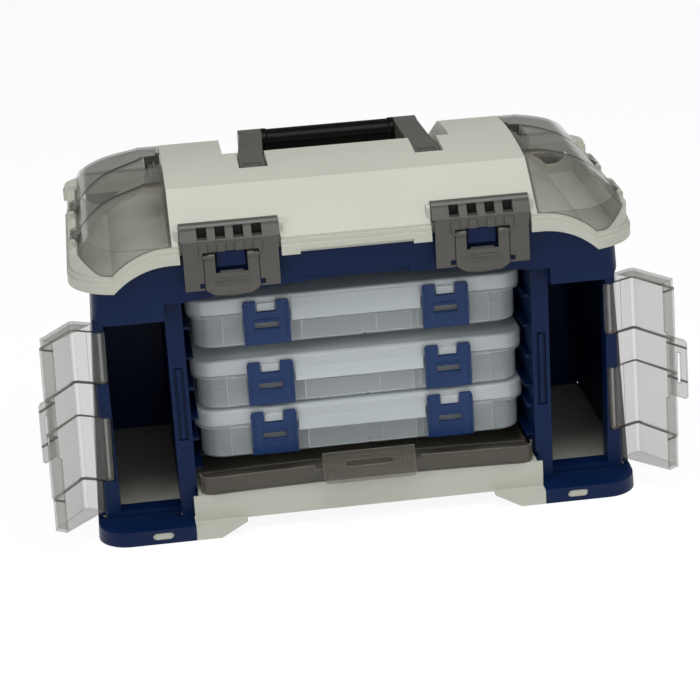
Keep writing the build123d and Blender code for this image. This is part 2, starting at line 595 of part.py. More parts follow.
def cover_hinge_slots(side):
    slots = Part()
    for y in COVER_KNUCKLES_Y:
        slots += block(side * (COVER_OUT - 1), side * (COVER_AXIS_X + KNUCKLE_R + 1.2), y - KNUCKLE_L / 2 - 0.6,
                       y + KNUCKLE_L / 2 + 0.6, COVER_AXIS_Z - KNUCKLE_R - 1.2, 420)
    return slots


def cover_hinge_bore(side):
    bore = Part()
    for y in COVER_KNUCKLES_Y:
        bore += rod_y(side * COVER_AXIS_X, y - KNUCKLE_L / 2 - 9, y + KNUCKLE_L / 2 + 9, COVER_AXIS_Z,
                      COVER_PIN_R + PIN_FIT)
    return bore


def cover_hinge_pins(side):
    pins = Part()
    for y in COVER_KNUCKLES_Y:
        pins += rod_y(side * COVER_AXIS_X, y - KNUCKLE_L / 2 - 7.5, y + KNUCKLE_L / 2 + 7.5, COVER_AXIS_Z, COVER_PIN_R)
    return pins


def cover_keeper(side):
    """Small pale tab on the lid beside a cover's latch."""
    return block(side * (COVER_IN - 7), side * (COVER_IN + 0.4), COVER_LATCH_Y - 18, COVER_LATCH_Y + 18, 355, 373.5)


def cover_lugs(side):
    """Bosses on the rim at both ends of each cover knuckle."""
    lugs = Part()
    for y in COVER_KNUCKLES_Y:
        for s in (-1, 1):
            y0, y1 = y + s * (KNUCKLE_L / 2 + 0.6), y + s * (KNUCKLE_L / 2 + 7.5)
            lugs += rod_y(side * COVER_AXIS_X, min(y0, y1), max(y0, y1), COVER_AXIS_Z, COVER_LUG_R)
            lugs += block(side * (COVER_AXIS_X - 1.5), side * (COVER_AXIS_X + 3), y0, y1, 308, COVER_AXIS_Z)
    return lugs


def bait_cover(side):
    """Domed smoke shell with two grooves across it, open below."""
    room = cover_room(side)
    outer = lid_envelope(0.4) & room
    inner = lid_envelope(0.4 + SMOKE_WALL)
    hollow = block(side * (COVER_IN + SMOKE_WALL), side * (COVER_OUT - SMOKE_WALL), -LID_HALF_D,
                   LID_HALF_D - 8 - SMOKE_WALL, 250, 420)
    shell = outer - (inner & hollow)
    for y in COVER_KNUCKLES_Y:
        groove = block(side * (COVER_IN - 1), side * (COVER_OUT + 1), y - 1.6, y + 1.6, 290, 420)
        shell -= groove - lid_envelope(1.5)
    # pocket for the latch at the inner edge
    y0, y1 = COVER_LATCH_Y - COVER_LATCH_L / 2 - 0.5, COVER_LATCH_Y + COVER_LATCH_L / 2 + 0.5
    far = COVER_IN + COVER_LATCH_W + COVER_LATCH_TRAVEL + 2
    pocket = block(side * (COVER_IN - 1), side * far, y0, y1, COVER_LATCH_FLOOR, 420)
    tray = block(side * (COVER_IN + 0.7), side * (far + 2), y0 - 2, y1 + 2, COVER_LATCH_FLOOR - 2, 371)
    shell = shell + (tray & lid_envelope(0.4)) - pocket
    # knuckles over the hinge pins
    for y in COVER_KNUCKLES_Y:
        shell += rod_y(side * COVER_AXIS_X, y - KNUCKLE_L / 2, y + KNUCKLE_L / 2, COVER_AXIS_Z, KNUCKLE_R)
        arm = polygon((side * (COVER_AXIS_X), COVER_AXIS_Z), (side * (COVER_AXIS_X), COVER_AXIS_Z + KNUCKLE_R),
                      (side * (COVER_OUT - 6), COVER_AXIS_Z + 9), (side * (COVER_OUT - 2), COVER_AXIS_Z - 2))
        shell += front_slab(arm, y - KNUCKLE_L / 2, y + KNUCKLE_L / 2)
        shell -= rod_y(side * COVER_AXIS_X, y - 30, y + 30, COVER_AXIS_Z, COVER_PIN_R + PIN_FIT)
    return shell


def cover_latch(side):
    """Dark spring catch that lies in the cover's pocket, with a well and an upright finger bar."""
    x0, x1 = side * (COVER_IN + 1.2), side * (COVER_IN + 1.2 + COVER_LATCH_W)
    y0, y1 = COVER_LATCH_Y - COVER_LATCH_L / 2, COVER_LATCH_Y + COVER_LATCH_L / 2
    z0 = COVER_LATCH_FLOOR + SEAT
    catch = block(x0, x1, y0, y1, z0, z0 + 10)
    catch -= block(side * (COVER_IN + 3.5), side * (COVER_IN + 10), y0 + 3, y0 + 19, z0 + 2, 380)
    catch += block(side * (COVER_IN + 5.5), side * (COVER_IN + 8), y0 + 3, y1 - 4, z0 + 1, z0 + 14)
    return catch


# ------------------------------------------------------------------ handle
def handle_frame():
    """Two tapering arms and the bar inside the grip, one moulding."""
    length = hypot(GRIP_Y - HANDLE_PIVOT_Y, GRIP_Z - HANDLE_PIVOT_Z)
    frame = Part()
    for side in (-1, 1):
        x0, x1 = side * ARM_X_PIVOT, side * ARM_X_GRIP
        side_face = outline(
            ThreePointArc((HANDLE_PIVOT_Y, HANDLE_PIVOT_Z + 10), (HANDLE_PIVOT_Y - 10, HANDLE_PIVOT_Z),
                          (HANDLE_PIVOT_Y, HANDLE_PIVOT_Z - 10)),
            Line((HANDLE_PIVOT_Y, HANDLE_PIVOT_Z - 10), (GRIP_Y, GRIP_Z - GRIP_R)),
            ThreePointArc((GRIP_Y, GRIP_Z - GRIP_R), (GRIP_Y + GRIP_R, GRIP_Z), (GRIP_Y, GRIP_Z + GRIP_R)),
            Spline((GRIP_Y, GRIP_Z + GRIP_R), (GRIP_Y - 30, GRIP_Z + 12.5), (GRIP_Y - 62, GRIP_Z + 9.5),
                   (HANDLE_PIVOT_Y, HANDLE_PIVOT_Z + 10), tangents=[(-1, 0), (-1, 0)]),
        )
        slab = side_slab(side_face, min(x0, x1) - 30, max(x0, x1) + 30)
        w, v = ARM_W / 2, ARM_W_GRIP / 2
        plan = polygon((x0 - w, HANDLE_PIVOT_Y - 12), (x0 + w, HANDLE_PIVOT_Y - 12), (x0 + w, CHANNEL_Y),
                       (x1 + v, GRIP_Y - 18), (x1 + v, GRIP_Y + 20), (x1 - v, GRIP_Y + 20), (x1 - v, GRIP_Y - 18),
                       (x0 - w, CHANNEL_Y))
        arm = slab & (Pos(0, 0, 320) * extrude(plan, 80))
        arm -= block(x0 - w + 4, x0 + w - 4, HANDLE_PIVOT_Y - 4, HANDLE_PIVOT_Y + 16, HANDLE_PIVOT_Z + 8.6, 400)
        frame += arm
    frame += rod_x(-ARM_X_GRIP, ARM_X_GRIP, GRIP_Y, GRIP_Z, GRIP_R - 4)
    for side in (-1, 1):
        x = side * ARM_X_PIVOT
        frame -= rod_x(x - 30, x + 30, HANDLE_PIVOT_Y, HANDLE_PIVOT_Z, HANDLE_PIN_R + PIN_FIT)
    return frame


def handle_grip():
    """Soft sleeve with a collar at each end and finger waves below."""
    half = ARM_X_GRIP - ARM_W_GRIP / 2 - SEAT
    r = GRIP_R
    profile = outline(
        Polyline((-half, GRIP_R - 4 + SEAT), (-half, r), (-half + 5, r), (-half + 6.5, r - 1)),
        Line((-half + 6.5, r - 1), (half - 6.5, r - 1)),
        Polyline((half - 6.5, r - 1), (half - 5, r), (half, r), (half, GRIP_R - 4 + SEAT), (-half, GRIP_R - 4 + SEAT)),
    )
    sleeve = revolve(Pos(0, GRIP_Y, GRIP_Z) * Plane.XY * profile, Axis((0, GRIP_Y, GRIP_Z), (1, 0, 0)))
    return sleeve


def handle_pins():
    pins = Part()
    for side in (-1, 1):
        x = side * ARM_X_PIVOT
        pins += rod_x(x - ARM_W / 2 - 8, x + ARM_W / 2 + 8, HANDLE_PIVOT_Y, HANDLE_PIVOT_Z, HANDLE_PIN_R)
    return pins


# ------------------------------------------------------------------ lid latches
def latch_plate(side):
    x = side * LATCH_X
    y0, y1 = PLATE_FRONT_Y, PLATE_FRONT_Y + PLATE_T
    r = LATCH_BAR_R
    plate = block(x - LATCH_HALF_W, x + LATCH_HALF_W, y0, y1, PLATE_BOTTOM_Z, LATCH_AXIS_Z - 10)
    # rounded bar over the pin, blended down to the plate
    bar_face = outline(
        ThreePointArc((LATCH_AXIS_Y + 3, LATCH_AXIS_Z - 7.4), (LATCH_AXIS_Y + 2, LATCH_AXIS_Z + 7.7),
                      (LATCH_AXIS_Y - 7.7, LATCH_AXIS_Z + 2)),
        Polyline((LATCH_AXIS_Y - 7.7, LATCH_AXIS_Z + 2), (y0, LATCH_AXIS_Z - 8), (y0, LATCH_AXIS_Z - 14),
                 (y1, LATCH_AXIS_Z - 14), (LATCH_AXIS_Y + 3, LATCH_AXIS_Z - 7.4)),
    )
    bar = side_slab(bar_face, x - LATCH_BAR_HALF_W, x + LATCH_BAR_HALF_W)
    bar -= block(x + LATCH_HALF_W, x + 60, -200, -100, 250, LATCH_AXIS_Z - 9)
    bar -= block(x - 60, x - LATCH_HALF_W, -200, -100, 250, LATCH_AXIS_Z - 9)
    plate += bar
    # four windows with a rounded scoop below each
    for k in range(4):
        cx = x + (k - 1.5) * 18.5
        plate -= block(cx - 5, cx + 5, -170, LATCH_AXIS_Y - 4.6, LATCH_AXIS_Z - 7, LATCH_AXIS_Z + 4)
        pad = Pos(cx, y0 + 1.2, LATCH_AXIS_Z - 17) * Cylinder(5.2, 12)
        plate += pad & block(cx - 6, cx + 6, y0 - 2.2, y0 + 1, 250, 400)
    plate -= block(x - CUTOUT_HALF_W, x + CUTOUT_HALF_W, -170, -130, 200, CUTOUT_TOP_Z)
    for s in (-1, 1):
        plate -= block(x + s * (CUTOUT_HALF_W - 1), x + s * (CUTOUT_HALF_W + 5), -170, -130, 279, 284.5)
    plate -= rod_x(x - 60, x + 60, LATCH_AXIS_Y, LATCH_AXIS_Z, LATCH_PIN_R + PIN_FIT)
    plate -= rod_x(x - CUTOUT_HALF_W - 6, x + CUTOUT_HALF_W + 6, PADDLE_AXIS_Y, PADDLE_AXIS_Z, PADDLE_PIN_R + PIN_FIT)
    return plate


PADDLE_AXIS_Y, PADDLE_AXIS_Z = PLATE_FRONT_Y + PLATE_T / 2, HORN_TOP_Z - 3.5


def latch_paddle(side):
    x = side * LATCH_X
    y0, y1 = PLATE_FRONT_Y, PLATE_FRONT_Y + PLATE_T
    w = CUTOUT_HALF_W - PADDLE_GAP
    face = outline(
        Polyline((-w, HORN_TOP_Z), (-w, PLATE_BOTTOM_Z + 1)),
        ThreePointArc((-w, PLATE_BOTTOM_Z + 1), (0, LIP_Z), (w, PLATE_BOTTOM_Z + 1)),
        Polyline((w, PLATE_BOTTOM_Z + 1), (w, HORN_TOP_Z), (WINDOW_HALF_W, HORN_TOP_Z),
                 (WINDOW_HALF_W, WINDOW_SILL_Z), (-WINDOW_HALF_W, WINDOW_SILL_Z), (-WINDOW_HALF_W, HORN_TOP_Z),
                 (-w, HORN_TOP_Z)),
    )
    paddle = front_slab(face, y0, y1)
    # round horn tops about the pin
    for s in (-1, 1):
        cx = (w + WINDOW_HALF_W) / 2
        paddle -= block(s * WINDOW_HALF_W, s * (w + 1), -170, -130, PADDLE_AXIS_Z, HORN_TOP_Z + 5)
        paddle += rod_x(s * WINDOW_HALF_W, s * w, PADDLE_AXIS_Y, PADDLE_AXIS_Z, 3.2)
    # hook behind the sill, lip and three grip ribs in front
    paddle += block(-12, 12, y1 - 0.5, HEADER_Y - 7 - RUN, WINDOW_SILL_Z - 3, WINDOW_SILL_Z + 1.5)
    lip = polygon((y0 + 0.5, PLATE_BOTTOM_Z + 6), (y0 - 5, PLATE_BOTTOM_Z - 3), (y0 - 5, PLATE_BOTTOM_Z - 5),
                  (y0 + 0.5, PLATE_BOTTOM_Z - 3))
    curve = outline(
        Polyline((w, PLATE_BOTTOM_Z + 9), (-w, PLATE_BOTTOM_Z + 9), (-w, PLATE_BOTTOM_Z + 1)),
        ThreePointArc((-w, PLATE_BOTTOM_Z + 1), (0, LIP_Z), (w, PLATE_BOTTOM_Z + 1)),
        Line((w, PLATE_BOTTOM_Z + 1), (w, PLATE_BOTTOM_Z + 9)),
    )
    paddle += side_slab(lip, -w, w) & front_slab(curve, -170, -130)
    for k in range(3):
        z = WINDOW_SILL_Z - 3.5 - 4.2 * k
        rib = block(-16 - 1.5 * k, 16 + 1.5 * k, y0 - 0.8, y0 + 0.5, z - 0.6, z + 0.6)
        paddle += rib
    paddle -= rod_x(-w - 1, w + 1, PADDLE_AXIS_Y, PADDLE_AXIS_Z, PADDLE_PIN_R + PIN_FIT)
    return Pos(x, 0, 0) * paddle


def latch_pins(side):
    x = side * LATCH_X
    return rod_x(x - LATCH_BAR_HALF_W - 3.5, x + LATCH_BAR_HALF_W + 3.5, LATCH_AXIS_Y, LATCH_AXIS_Z, LATCH_PIN_R)


def paddle_pins(side):
    x = side * LATCH_X
    w = CUTOUT_HALF_W
    pins = Part()
    for s in (-1, 1):
        pins += rod_x(x + s * (WINDOW_HALF_W + 1), x + s * (w + 4), PADDLE_AXIS_Y, PADDLE_AXIS_Z, PADDLE_PIN_R)
    return pins


# ------------------------------------------------------------------ side doors
# A right door is drawn shut, with its pin line upright through the origin: u to the right, v to the back.
HINGE_BANDS = ((DOOR_STEPS[0], DOOR_STEPS[1]), (DOOR_STEPS[2], DOOR_STEPS[3]))


def for_side(side, shape):
    """Stand a right door's shape on its leaning pin line; the left one is its mirror image."""
    placed = Pos(DOOR_AXIS_X, DOOR_AXIS_Y, DOOR_MID) * Rot(0, -DOOR_LEAN_DEG, 0) * Pos(0, 0, -DOOR_MID) * shape
    return placed if side > 0 else mirrored(placed)


def post_relief():
    """What the swinging door needs of the corner post: round its edge, past its open wrap, and a notch
    for each knuckle."""
    low, high = RIM_H + 1, DOOR_TOP + 2
    room = block(-3, 60, -40, 1.5, low, high)
    room -= Pos(0, 0, (low + high) / 2) * Cylinder(-DOOR_EDGE_V + 0.5, high - low)
    wedge = Pos(0, 0, low) * extrude(polygon((6, 0), (60, 0), (60, 30), (28, 13.5), (6, 2.5)), high - low)
    room += wedge
    for z0, z1 in HINGE_BANDS:
        room += block(-KNUCKLE_DOOR_R - 0.6, 60, -40, KNUCKLE_DOOR_R + 0.6, z0 - SEAT, z1 + SEAT)
    return room


def door_pins(clear, beyond):
    """Two pins, each held in the post above and below its knuckle."""
    pins = Part()
    for z0, z1 in HINGE_BANDS:
        pins += Pos(0, 0, (z0 + z1) / 2) * Cylinder(DOOR_PIN_R + clear, z1 - z0 + 18 + 2 * beyond)
    return pins


def door_skin(grow):
    """Plan section of the skin: hinge edge, wrap, front face and free edge."""
    t = SMOKE_WALL
    face, free = DOOR_FACE_V - grow, DOOR_FREE_U
    edge_u, fold_u = -3.5 + grow, -5.8 + grow
    rim = DOOR_FACE_V + DOOR_FLANGE
    return polygon((edge_u, DOOR_EDGE_V), (fold_u, face + 4), (fold_u - 3, face), (free + 1.5, face),
                   (free, face + 1.5), (free, rim), (free + t, rim), (free + t, face + t),
                   (fold_u - 4, face + t), (fold_u - t, face + 5), (edge_u - t, DOOR_EDGE_V))


def shut_door():
    """Five bands, every other one standing slightly proud, with closing rims above and below, knuckles at
    the proud bands and the slotted pull tab behind the free edge."""
    t = SMOKE_WALL
    steps = (DOOR_BOTTOM, *DOOR_STEPS, DOOR_TOP)
    rim = DOOR_FACE_V + DOOR_FLANGE
    door = Part()
    for k in range(5):
        z0, z1 = steps[k], steps[k + 1]
        door += Pos(0, 0, z0) * extrude(door_skin(DOOR_STEP * (k % 2)), z1 - z0)
    closer = polygon((-3.5, DOOR_EDGE_V), (-5.8, DOOR_FACE_V + 4), (-8.8, DOOR_FACE_V),
                     (DOOR_FREE_U + 1.5, DOOR_FACE_V), (DOOR_FREE_U, DOOR_FACE_V + 1.5), (DOOR_FREE_U, rim))
    for z in (DOOR_BOTTOM, DOOR_TOP - t):
        door += Pos(0, 0, z) * extrude(closer, t)
    for z0, z1 in HINGE_BANDS:
        door += Pos(0, 0, (z0 + z1) / 2) * Cylinder(KNUCKLE_DOOR_R, z1 - z0)
        cheek = polygon((-KNUCKLE_DOOR_R, 0), (-3.5 + DOOR_STEP - t, DOOR_EDGE_V), (-5.6, DOOR_EDGE_V - 6),
                        (-4.4, DOOR_EDGE_V - 6), (-2.0, DOOR_EDGE_V), (KNUCKLE_DOOR_R - 3, -3))
        door += Pos(0, 0, z0) * extrude(cheek, z1 - z0)
    door -= door_pins(PIN_FIT, 20)
    # the free edge is cut shallower where the tab is
    door -= block(DOOR_FREE_U - 1, DOOR_FREE_U + t + 1, DOOR_FACE_V + TAB_DEPTH, rim + 1, TAB_Z - TAB_H / 2 - 4,
                  TAB_Z + TAB_H / 2 + 4)
    tab = block(DOOR_FREE_U - TAB_W, DOOR_FREE_U + t, DOOR_FACE_V + TAB_DEPTH - t, DOOR_FACE_V + TAB_DEPTH,
                TAB_Z - TAB_H / 2, TAB_Z + TAB_H / 2)
    tab = fillet(tab.edges().filter_by(Axis.Y).sort_by(Axis.X)[:2], 4)
    u = COLUMN_MID - DOOR_AXIS_X
    slot = block(u - TAB_SLOT_W / 2, u + TAB_SLOT_W / 2, -40, 0, TAB_Z - TAB_SLOT_H / 2, TAB_Z + TAB_SLOT_H / 2)
    return door + (tab - slot)


def side_door(side):
    return for_side(side, Rot(0, 0, DOOR_OPEN_DEG) * shut_door())


def side_door_pins(side):
    return for_side(side, door_pins(0, 0))


# ------------------------------------------------------------------ front door
def front_door():
    """Smoke front door, slid in flat under the boxes: a panel with a low arch from side to side, its tall
    edge and slotted pull tab in front."""
    z0 = DECK_Z + SEAT
    w, t = FRONT_DOOR_HALF_W, SMOKE_WALL
    y0, y1 = FRONT_DOOR_Y, FRONT_DOOR_Y + FRONT_DOOR_L
    outer = extrude(plan_outline(w, y0, y1, 16, 4), 120)
    inner = extrude(plan_outline(w - t, y0 + t, y1 - t, 16 - t, 2), 120)
    door = outer & (below_arch(z0 + t) - below_arch(z0))
    tall = block(-w - 1, w + 1, y0 - 1, y0 + 18, 0, 100)
    door += (outer - inner) & (below_arch(z0 + FRONT_DOOR_RIM_H) - below_arch(z0)) & tall
    door += (outer - inner) & (below_arch(z0 + 6) - below_arch(z0))
    # lower step of the tall edge behind the tab
    step = FRONT_TAB_HALF_W + 8
    door -= block(-step, step, y0 - 1, y0 + t + 1, z0 + FRONT_DOOR_RIM_H - 2, 100)
    # stiffening steps across the panel
    for k in range(3):
        y = y0 + 55 + 50 * k
        door += block(-w + t, w - t, y, y + 3, 0, 100) & (below_arch(z0 + t + 1.2) - below_arch(z0 + t - 0.5))
    tab = block(-FRONT_TAB_HALF_W, FRONT_TAB_HALF_W, -1.4, 1.4, -FRONT_TAB_H / 2, FRONT_TAB_H / 2)
    tab = fillet(tab.edges().filter_by(Axis.Y).sort_by(Axis.Z)[:2], 5)
    tab -= front_slab(Pos(0, 3) * SlotOverall(51, 6), -5, 5)
    tab = Pos(0, TAB_MID_Y, TAB_MID_Z) * Rot(-FRONT_TAB_TILT, 0, 0) * tab
    for s in (-1, 1):
        x = s * (FRONT_TAB_HALF_W - 9)
        web = polygon((y0 + 1, z0 + 3), (y0 + 1, z0 + 15), (TAB_MID_Y + 2, TAB_MID_Z + 4), (TAB_MID_Y - 2, TAB_MID_Z - 6))
        tab += side_slab(web, x - 2, x + 2)
    door += tab
    # guide studs at the rear corners
    for s in (-1, 1):
        door += rod_x(s * (w - 1), s * (BAY_HALF_W + 2.2), y1 - 8, z0 + GUIDE_PIN_R, GUIDE_PIN_R)
    return door


FRONT_TAB_TILT = 25.0
TAB_MID_Y, TAB_MID_Z = -147.0, 65.5


# ------------------------------------------------------------------ utility boxes
BOX_REAR_Y = BOX_FRONT_Y + BOX_D
SPLIT = BOX_H - BOX_SKIRT_H
BOX_AXIS_Y, BOX_AXIS_Z = BOX_FRONT_Y + BOX_D - 2.5, SPLIT + 1.5
BOX_PIN_R = 1.2
PANEL_W = 68.0        # half width of the lid's front lip
LIP_PROUD = 4.4       # how far the lip stands out at its lower edge
HOOK_HALF_W = 9.0     # the lid's hook tab in each clip's notch
ROWS_Y = (-42.0, 16.0, 74.0)
CLIP_AXIS_Y, CLIP_AXIS_Z = BOX_FRONT_Y - 1.0, 4.2


def box_tray(z0):
    w = BOX_TRAY_HALF_W
    y0, y1 = BOX_FRONT_Y + 1.5, BOX_REAR_Y - 8
    outer = extrude(plan_outline(w, y0, y1, BOX_CORNER_R, 10), SPLIT - 1)
    outer = fillet(outer.edges().group_by(Axis.Z)[0], 3)
    hollow = Pos(0, 0, BOX_WALL) * extrude(plan_outline(w - BOX_WALL, y0 + BOX_WALL, y1 - BOX_WALL,
                                                        BOX_CORNER_R - BOX_WALL, 8), SPLIT)
    tray = outer - hollow
    # rim flange under the lid's skirt
    flange = extrude(plan_outline(BOX_W / 2 - 0.5, BOX_FRONT_Y + 0.5, BOX_REAR_Y - 7, BOX_CORNER_R, 12), 2)
    flange -= extrude(plan_outline(w - BOX_WALL, y0 + BOX_WALL, y1 - BOX_WALL, BOX_CORNER_R - BOX_WALL, 8), 2)
    tray += Pos(0, 0, BOX_RIM_Z) * flange
    # long walls between the rows of compartments
    for y in ROWS_Y:
        tray += block(-w + 1, w - 1, y - 0.8, y + 0.8, BOX_WALL - 0.5, SPLIT - 4)
    # raised panels of the front and a small foot notch
    tray += block(-PANEL_W + 10, PANEL_W - 10, BOX_FRONT_Y - 1.5, y0 + 1, 3, SPLIT - 14)
    for s in (-1, 1):
        x = s * (CLIP_X + CLIP_W / 2 + 2)
        tray += block(x, x + s * 20, BOX_FRONT_Y - 0.5, y0 + 1, 3, BOX_RIM_Z)
    tray -= Pos(8, 0, 0) * front_slab(polygon((-4, -1), (4, -1), (0, 4)), BOX_FRONT_Y - 3, BOX_FRONT_Y + 20)
    # clip pivots
    for s in (-1, 1):
        for e in (-1, 1):
            cx = s * CLIP_X + e * (CLIP_W / 2 - 8)
            tray += block(cx - 3, cx + 3, CLIP_AXIS_Y - 1.6, y0 + 1, CLIP_AXIS_Z - 2.2, CLIP_AXIS_Z + 2.2)
        tray -= rod_x(s * CLIP_X - CLIP_W / 2, s * CLIP_X + CLIP_W / 2, CLIP_AXIS_Y, CLIP_AXIS_Z, CLIP_PIN_R + PIN_FIT)
    # hinge barrels at the back
    for x in (-140, 0, 140):
        tray += rod_x(x - 12, x + 12, BOX_AXIS_Y, BOX_AXIS_Z, 3)
        tray += block(x - 12, x + 12, y1 - 1, BOX_AXIS_Y, BOX_AXIS_Z - 3, BOX_AXIS_Z)
    tray -= rod_x(-160, 160, BOX_AXIS_Y, BOX_AXIS_Z, BOX_PIN_R + PIN_FIT)
    return Pos(0, 0, z0) * tray


def box_lid(z0):
    w = BOX_W / 2
    y0, y1 = BOX_FRONT_Y, BOX_REAR_Y - 6
    top = BOX_H
    lid = Pos(0, 0, SPLIT + SEAT) * extrude(plan_outline(w, y0, y1, BOX_CORNER_R, 12), BOX_SKIRT_H - SEAT)
    lid = fillet(lid.edges().group_by(Axis.Z)[-1], 3)
    lid -= Pos(0, 0, SPLIT - 1) * extrude(plan_outline(w - BOX_WALL, y0 + BOX_WALL, y1 - BOX_WALL,
                                                        BOX_CORNER_R - BOX_WALL, 10), BOX_SKIRT_H + 1 - BOX_WALL)
    # raised panel edge on top and hook tabs in front for the clips
    lid += Pos(0, 0, top - BOX_WALL - 0.8) * (extrude(plan_outline(w - 22, y0 + 18, y1 - 14, 12, 10), 1)
                                              - extrude(plan_outline(w - 24, y0 + 20, y1 - 16, 10, 8), 1))
    lip = polygon((y0 + 1, top - 2), (y0 - 1, top - 5), (y0 - LIP_PROUD, SPLIT - 11), (y0 - LIP_PROUD + BOX_WALL, SPLIT - 11),
                  (y0 - 0.2, SPLIT + 2), (y0 + 1, SPLIT + 2))
    lid += side_slab(lip, -PANEL_W, PANEL_W)
    for s in (-1, 1):
        cheek = polygon((y0 + 1, top - 2), (y0 - 1, top - 5), (y0 - LIP_PROUD, SPLIT - 11), (y0 - 0.2, SPLIT - 11),
                        (y0 - 0.2, SPLIT + 2), (y0 + 1, SPLIT + 2))
        lid += side_slab(cheek, min(s * PANEL_W, s * (PANEL_W - 2)), max(s * PANEL_W, s * (PANEL_W - 2)))
    for s in (-1, 1):
        lid += block(s * CLIP_X - HOOK_HALF_W, s * CLIP_X + HOOK_HALF_W, y0 - 3.4, y0 + 1, SPLIT + 2, SPLIT + 10)
    for x in (-113, -27, 27, 113):
        lid += rod_x(x - 12, x + 12, BOX_AXIS_Y, BOX_AXIS_Z, 3)
        lid += block(x - 12, x + 12, y1 - 1.5, BOX_AXIS_Y + 1, BOX_AXIS_Z, BOX_AXIS_Z + 3)
    for x in (-140, 0, 140):
        lid -= block(x - 12.3, x + 12.3, y1 - 3, BOX_AXIS_Y + 4, SPLIT - 1, BOX_AXIS_Z + 3.5)
    lid -= rod_x(-160, 160, BOX_AXIS_Y, BOX_AXIS_Z, BOX_PIN_R + PIN_FIT)
    return Pos(0, 0, z0) * lid


def box_pin(z0):
    return rod_x(-154, 154, BOX_AXIS_Y, z0 + BOX_AXIS_Z, BOX_PIN_R)


def box_dividers(z0):
    """Loose cross plates between the long walls, thin, with a stiff top edge."""
    y_walls = [BOX_FRONT_Y + 1.5 + BOX_WALL, *ROWS_Y, BOX_REAR_Y - 8 - BOX_WALL]
    plates = Part()
    for row, xs in enumerate(((-118, -58, 22, 66, 120), (-60, 60), (-100, 20), (0,))):
        a, b = y_walls[row] + 1.4, y_walls[row + 1] - 1.4
        for x in xs:
            plates += block(x - 0.6, x + 0.6, a, b, BOX_WALL + SEAT, SPLIT - 5)
            plates += block(x - 1.2, x + 1.2, a, b, SPLIT - 7, SPLIT - 5)
    return Pos(0, 0, z0) * plates


def box_clip(z0, side):
    """Snap clip: a plate with a window, a notch at the top for the lid's hook, and a pivot at the foot."""
    x = side * CLIP_X
    y1 = BOX_FRONT_Y - 2.4
    y0 = y1 - CLIP_T
    top = CLIP_AXIS_Z + CLIP_H - 4
    face = outline(
        Polyline((x - CLIP_W / 2 + 1.5, top), (x - CLIP_W / 2, top - 3), (x - CLIP_W / 2, 2.2), (x + CLIP_W / 2, 2.2),
                 (x + CLIP_W / 2, top - 3), (x + CLIP_W / 2 - 1.5, top), (x - CLIP_W / 2 + 1.5, top)),
    )
    clip = front_slab(face, y0, y1)
    notch = HOOK_HALF_W + 1.5
    clip -= block(x - notch, x + notch, y0 - 1, y1 + 1, SPLIT + 1, top + 1)
    clip -= block(x - 12.5, x + 12.5, y0 - 1, y1 + 1, 20, 26.5)
    # bars above and below the window
    clip += block(x - 13, x + 13, y0 - 0.9, y0 + 0.5, 27.5, 30)
    clip += block(x - 13, x + 13, y0 - 0.9, y0 + 0.5, 16.5, 19)
    for e in (-1, 1):
        clip += block(x + e * (CLIP_W / 2 - 3), x + e * (CLIP_W / 2), y0 - 1, y0 + 0.5, 9, top - 4)
        cx = x + e * (CLIP_W / 2 - 8)
        clip -= block(cx - 3.4, cx + 3.4, y0 + 1.2, y1 + 1, 0, CLIP_AXIS_Z + 6)
    clip += rod_x(x - CLIP_W / 2 + 1.5, x + CLIP_W / 2 - 1.5, CLIP_AXIS_Y, CLIP_AXIS_Z, CLIP_PIN_R)
    for e in (-1, 1):
        for cx in (x + e * (CLIP_W / 2 - 3), x + e * 6):
            clip += block(cx - 1.3, cx + 1.3, y1 - 0.5, CLIP_AXIS_Y + 1, CLIP_AXIS_Z - 1.2, CLIP_AXIS_Z + 1.2)
    return Pos(0, 0, z0) * clip


# ------------------------------------------------------------------ write every node
write("body_shell", body_shell())
write("base_tray", base_tray())
write("lid_hinge_pins", lid_hinge_pins())
write("lid_shell", lid_shell())
write("handle_frame", handle_frame())
write("handle_grip", handle_grip())
write("handle_pins", handle_pins())
write("front_door", front_door())
for word, side in (("left", -1), ("right", 1)):
    write(f"bait_cover_{word}", bait_cover(side))
    write(f"bait_cover_pins_{word}", cover_hinge_pins(side))
    write(f"bait_cover_latch_{word}", cover_latch(side))
    write(f"latch_plate_{word}", latch_plate(side))
    write(f"latch_paddle_{word}", latch_paddle(side))
    write(f"latch_pin_{word}", latch_pins(side))
    write(f"latch_paddle_pins_{word}", paddle_pins(side))
    write(f"side_door_{word}", side_door(side))
    write(f"side_door_pins_{word}", side_door_pins(side))
for number, z0 in enumerate(BOX_BOTTOMS, start=1):
    write(f"box_{number}_tray", box_tray(z0))
    write(f"box_{number}_lid", box_lid(z0))
    write(f"box_{number}_hinge_pin", box_pin(z0))
    write(f"box_{number}_dividers", box_dividers(z0))
    write(f"box_{number}_clip_left", box_clip(z0, -1))
    write(f"box_{number}_clip_right", box_clip(z0, 1))
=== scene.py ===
# %% [markdown]
# Fishing tackle cabinet: a lesson in dressing a CAD frame in Blender.
# The construction comes packed from CAD, one mesh per moulded piece, and this file never moves it. It gives
# every moulding its small rounded edges and its plastic, adds a few small pieces, and sets the camera and
# the light. All lengths are metres.

# %% Load the frame
import json
import math

import bmesh
import bpy
from mathutils import Matrix, Vector
from mathutils.bvhtree import BVHTree


